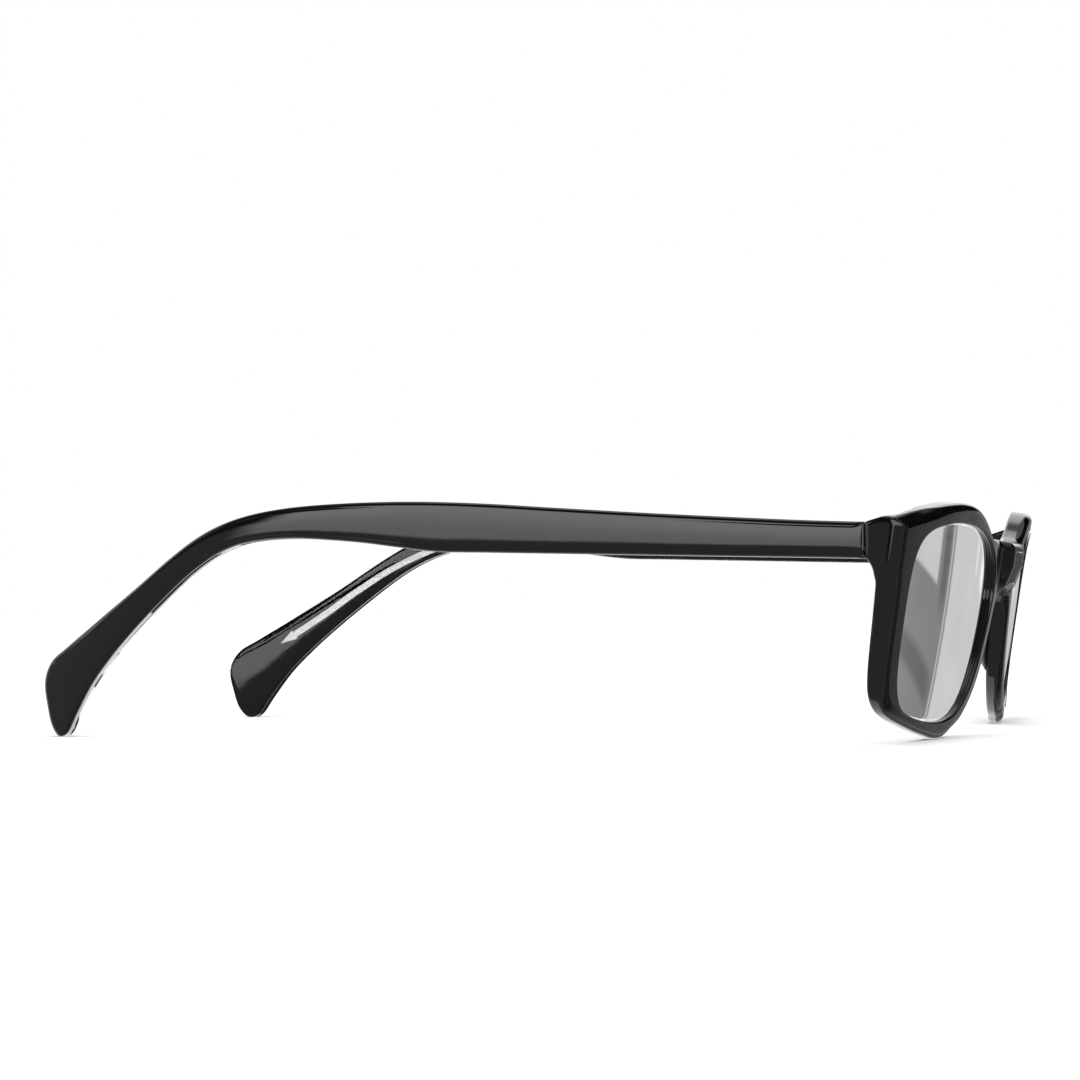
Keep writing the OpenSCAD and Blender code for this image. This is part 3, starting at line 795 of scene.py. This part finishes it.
def lens_materials():
    """A clear lens with a painted reflection that covers more of it the more edge-on it is seen, and its
    polished bevel with a painted glint.
    """
    made, g = material("lens")
    geometry = g.node("ShaderNodeNewGeometry")
    # Painted reflection: the emission strength is read from the reflection direction, with a faint noise, and
    # mixed in more where the lens is seen edge-on
    reflect = g.node("ShaderNodeTexCoord").outputs["Reflection"]
    azimuth, elevation = g.angles(reflect)
    light = g.ramp(azimuth, LENS_PAINTED_SPLIT - 0.5, LENS_PAINTED_SPLIT + 0.5, LENS_PAINTED_DARK, LENS_PAINTED_LIGHT)
    for az, el, soft_az, soft_el, value in LENS_PAINTED_PATCHES:
        mask = g.patch(azimuth, elevation, az, el, soft_az, soft_el)
        light = g.maths("ADD", light, g.maths("MULTIPLY", mask, value))
    light = g.maths("MULTIPLY", light, g.ramp(g.noise(90, 3), 0.2, 0.8, 0.97, 1.03))
    facing = g.node("ShaderNodeLayerWeight", Blend=0.5).outputs["Facing"]
    share = g.ramp(facing, 0.05, 0.70, 0.08, 0.985)
    front = g.maths("SUBTRACT", 1, geometry.outputs["Backfacing"])
    share = g.maths("MULTIPLY", share, front)
    tint = g.node("ShaderNodeBsdfTransparent", Color=(0.985, 0.99, 0.988, 1))
    # Painted reflection: an emission node that glows, not a mirror
    mirror = g.node("ShaderNodeEmission", Color=(1.0, 1.0, 1.0, 1), Strength=light)
    both = g.node("ShaderNodeMixShader", Fac=share)
    g.put(both.inputs[1], tint.outputs[0])
    g.put(both.inputs[2], mirror.outputs[0])
    g.node("ShaderNodeOutputMaterial", Surface=both.outputs[0])

    bevel, g = material("lens_bevel_painted_glint")
    # Painted glint: the bevel glows with a noisy emission instead of reflecting light
    painted_glint = g.ramp(g.noise(300, 2), 0.3, 0.7, 0.65, 0.95)
    shader = g.node("ShaderNodeEmission", Strength=painted_glint)
    clear = g.node("ShaderNodeBsdfTransparent")
    both = g.node("ShaderNodeMixShader", Fac=0.75)
    g.put(both.inputs[1], clear.outputs[0])
    g.put(both.inputs[2], shader.outputs[0])
    g.node("ShaderNodeOutputMaterial", Surface=both.outputs[0])
    return made, bevel


# ---- Light ---------------------------------------------------------------------------------------

LAMP_AT = (-0.05, -0.05, 0.8)       # m
LAMP_SIZE = 0.9
LAMP_POWER = 1.6        # W


def light_studio():
    """The world, which differs for reflections, and a lamp for the soft shadows on the floor."""
    world = bpy.data.worlds.new("studio")
    bpy.context.scene.world = world
    world.use_nodes = True
    g = Graph(world.node_tree)
    direction = g.node("ShaderNodeTexCoord").outputs["Generated"]
    seen = g.node("ShaderNodeLightPath").outputs
    glossy = g.maths("MAXIMUM", seen["Is Glossy Ray"], 0)
    strength = g.maths("ADD", g.maths("MULTIPLY", glossy, studio(g, direction)),
                       g.maths("MULTIPLY", g.maths("SUBTRACT", 1, glossy), ROOM_LIGHT))
    strength = g.maths("ADD", g.maths("MULTIPLY", strength, g.maths("SUBTRACT", 1, seen["Is Camera Ray"])),
                       seen["Is Camera Ray"])
    back = g.node("ShaderNodeBackground", Color=(1, 1, 1, 1), Strength=strength)
    g.node("ShaderNodeOutputWorld", Surface=back.outputs[0])

    lamp = bpy.data.lights.new("overhead_softbox", "AREA")
    lamp.shape, lamp.size, lamp.energy = "SQUARE", LAMP_SIZE, LAMP_POWER
    light = bpy.data.objects.new("overhead_softbox", lamp)
    light.location = LAMP_AT
    light.visible_glossy = False
    bpy.context.scene.collection.objects.link(light)


FLOOR_SIZE = 6          # m


def build_floor():
    """A pale floor that reflections and the clear layers look through."""
    sheet = Sheet()
    side = np.linspace(-1, 1, 9) * FLOOR_SIZE / 2 / MM
    sheet.grid([[(x, y, 0) for y in side] for x in side])
    floor = sheet.object("floor")
    made, g = material("floor_paper")
    fibre = g.noise(700, 3)
    shader = g.node("ShaderNodeBsdfDiffuse", Color=g.colours(fibre, (0.93, 0.93, 0.93), (0.96, 0.96, 0.96)))
    clear = g.node("ShaderNodeBsdfTransparent")
    seen = g.node("ShaderNodeLightPath").outputs
    hidden = g.maths("MAXIMUM", seen["Is Glossy Ray"], seen["Is Transmission Ray"])
    both = g.node("ShaderNodeMixShader", Fac=hidden)
    g.put(both.inputs[1], shader.outputs[0])
    g.put(both.inputs[2], clear.outputs[0])
    g.node("ShaderNodeOutputMaterial", Surface=both.outputs[0])
    floor.data.materials.append(made)


# ---- Camera --------------------------------------------------------------------------------------

CAMERA_AT = (-0.5734, -0.1466, 0.0219)      # m
CAMERA_LENS = 120
CAMERA_SENSOR = 36
YAW, PITCH, ROLL = (math.radians(a) for a in (14.82, 0.87, -0.27))


def place_camera():
    """The camera, turned by its yaw and pitch and then rolled about its view."""
    data = bpy.data.cameras.new("camera")
    data.lens, data.sensor_width = CAMERA_LENS, CAMERA_SENSOR
    data.clip_start, data.clip_end = 0.01, 20
    camera = bpy.data.objects.new("camera", data)
    ahead = Vector((math.cos(YAW) * math.cos(PITCH), math.sin(YAW) * math.cos(PITCH), math.sin(PITCH)))
    right = ahead.cross(Vector((0, 0, 1))).normalized()
    up = right.cross(ahead)
    rolled_right = math.cos(ROLL) * right + math.sin(ROLL) * up
    rolled_up = math.cos(ROLL) * up - math.sin(ROLL) * right
    turned = Matrix((rolled_right, rolled_up, -ahead)).transposed().to_4x4()
    camera.matrix_world = Matrix.Translation(CAMERA_AT) @ turned
    bpy.context.scene.collection.objects.link(camera)
    bpy.context.scene.camera = camera


# ---- The object ----------------------------------------------------------------------------------

def finish_piece(piece, body, slot, materials, *stands_for):
    """Gives a piece its materials and body, and hides the CAD nodes that it stands for. The slot argument is
    not used.
    """
    for made in materials:
        piece.data.materials.append(made)
    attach(piece, body)
    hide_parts(*stands_for)


def build_object():
    """All the visible pieces, and metals for the CAD nodes that stay in view."""
    black, clear, pad = black_acetate(), clear_acetate(), pad_acetate()
    two_sided = [black, bonded_acetate()]
    lens = lens_materials()
    silver = metal("wire_metal", (0.56, 0.56, 0.55), (0.80, 0.80, 0.78), (0.22, 0.38), 1500, (1, 0.1, 1))
    steel = metal("hinge_metal", (0.50, 0.49, 0.47), (0.74, 0.73, 0.70), (0.20, 0.36), 1200, (1, 1, 0.15))
    rivet = metal("rivet_metal", (0.55, 0.54, 0.52), (0.78, 0.77, 0.74), (0.16, 0.30), 1600, (1, 1, 1))
    screw = metal("screw_metal", (0.48, 0.48, 0.49), (0.76, 0.76, 0.77), (0.14, 0.28), 1800, (1, 1, 0.2))

    finish_piece(both_halves(front_half, "polished_front"), "front", "black_acetate", [black], "frame_front")
    for side, mirror in (("right", False), ("left", True)):
        temple = f"{side}_temple"
        finish_piece(lens_sheet().object(f"{side}_demo_lens", mirror), "front", "lens", lens, f"{side}_lens")
        finish_piece(nose_pad_sheet().object(f"{side}_soft_nose_pad", mirror), "front", "pad_acetate", [pad],
                     f"{side}_nose_pad")
        finish_piece(temple_sheet(0, OUTER_T, TEMPLE_EDGE_R, 0).object(f"{side}_polished_temple", mirror),
                     temple, "black_acetate", two_sided, f"{side}_temple_outer_layer")
        layer = temple_sheet(OUTER_T - BOND, TEMPLE_T, BOND, TEMPLE_EDGE_R)
        finish_piece(layer.object(f"{side}_clear_layer", mirror), temple, "clear_acetate", [clear],
                     f"{side}_temple_inner_layer")
        for node, made in ((f"{side}_core_wire", silver), (f"{side}_front_hinge_leaf", steel),
                           (f"{side}_temple_hinge_leaf", steel), (f"{side}_front_hinge_rivets", rivet),
                           (f"{side}_temple_hinge_rivets", rivet), (f"{side}_hinge_screw", screw)):
            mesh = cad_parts[node].data
            mesh.materials.clear()
            mesh.materials.append(made)


bpy.context.scene.view_settings.view_transform = "Standard"
build_object()
build_floor()
light_studio()
place_camera()
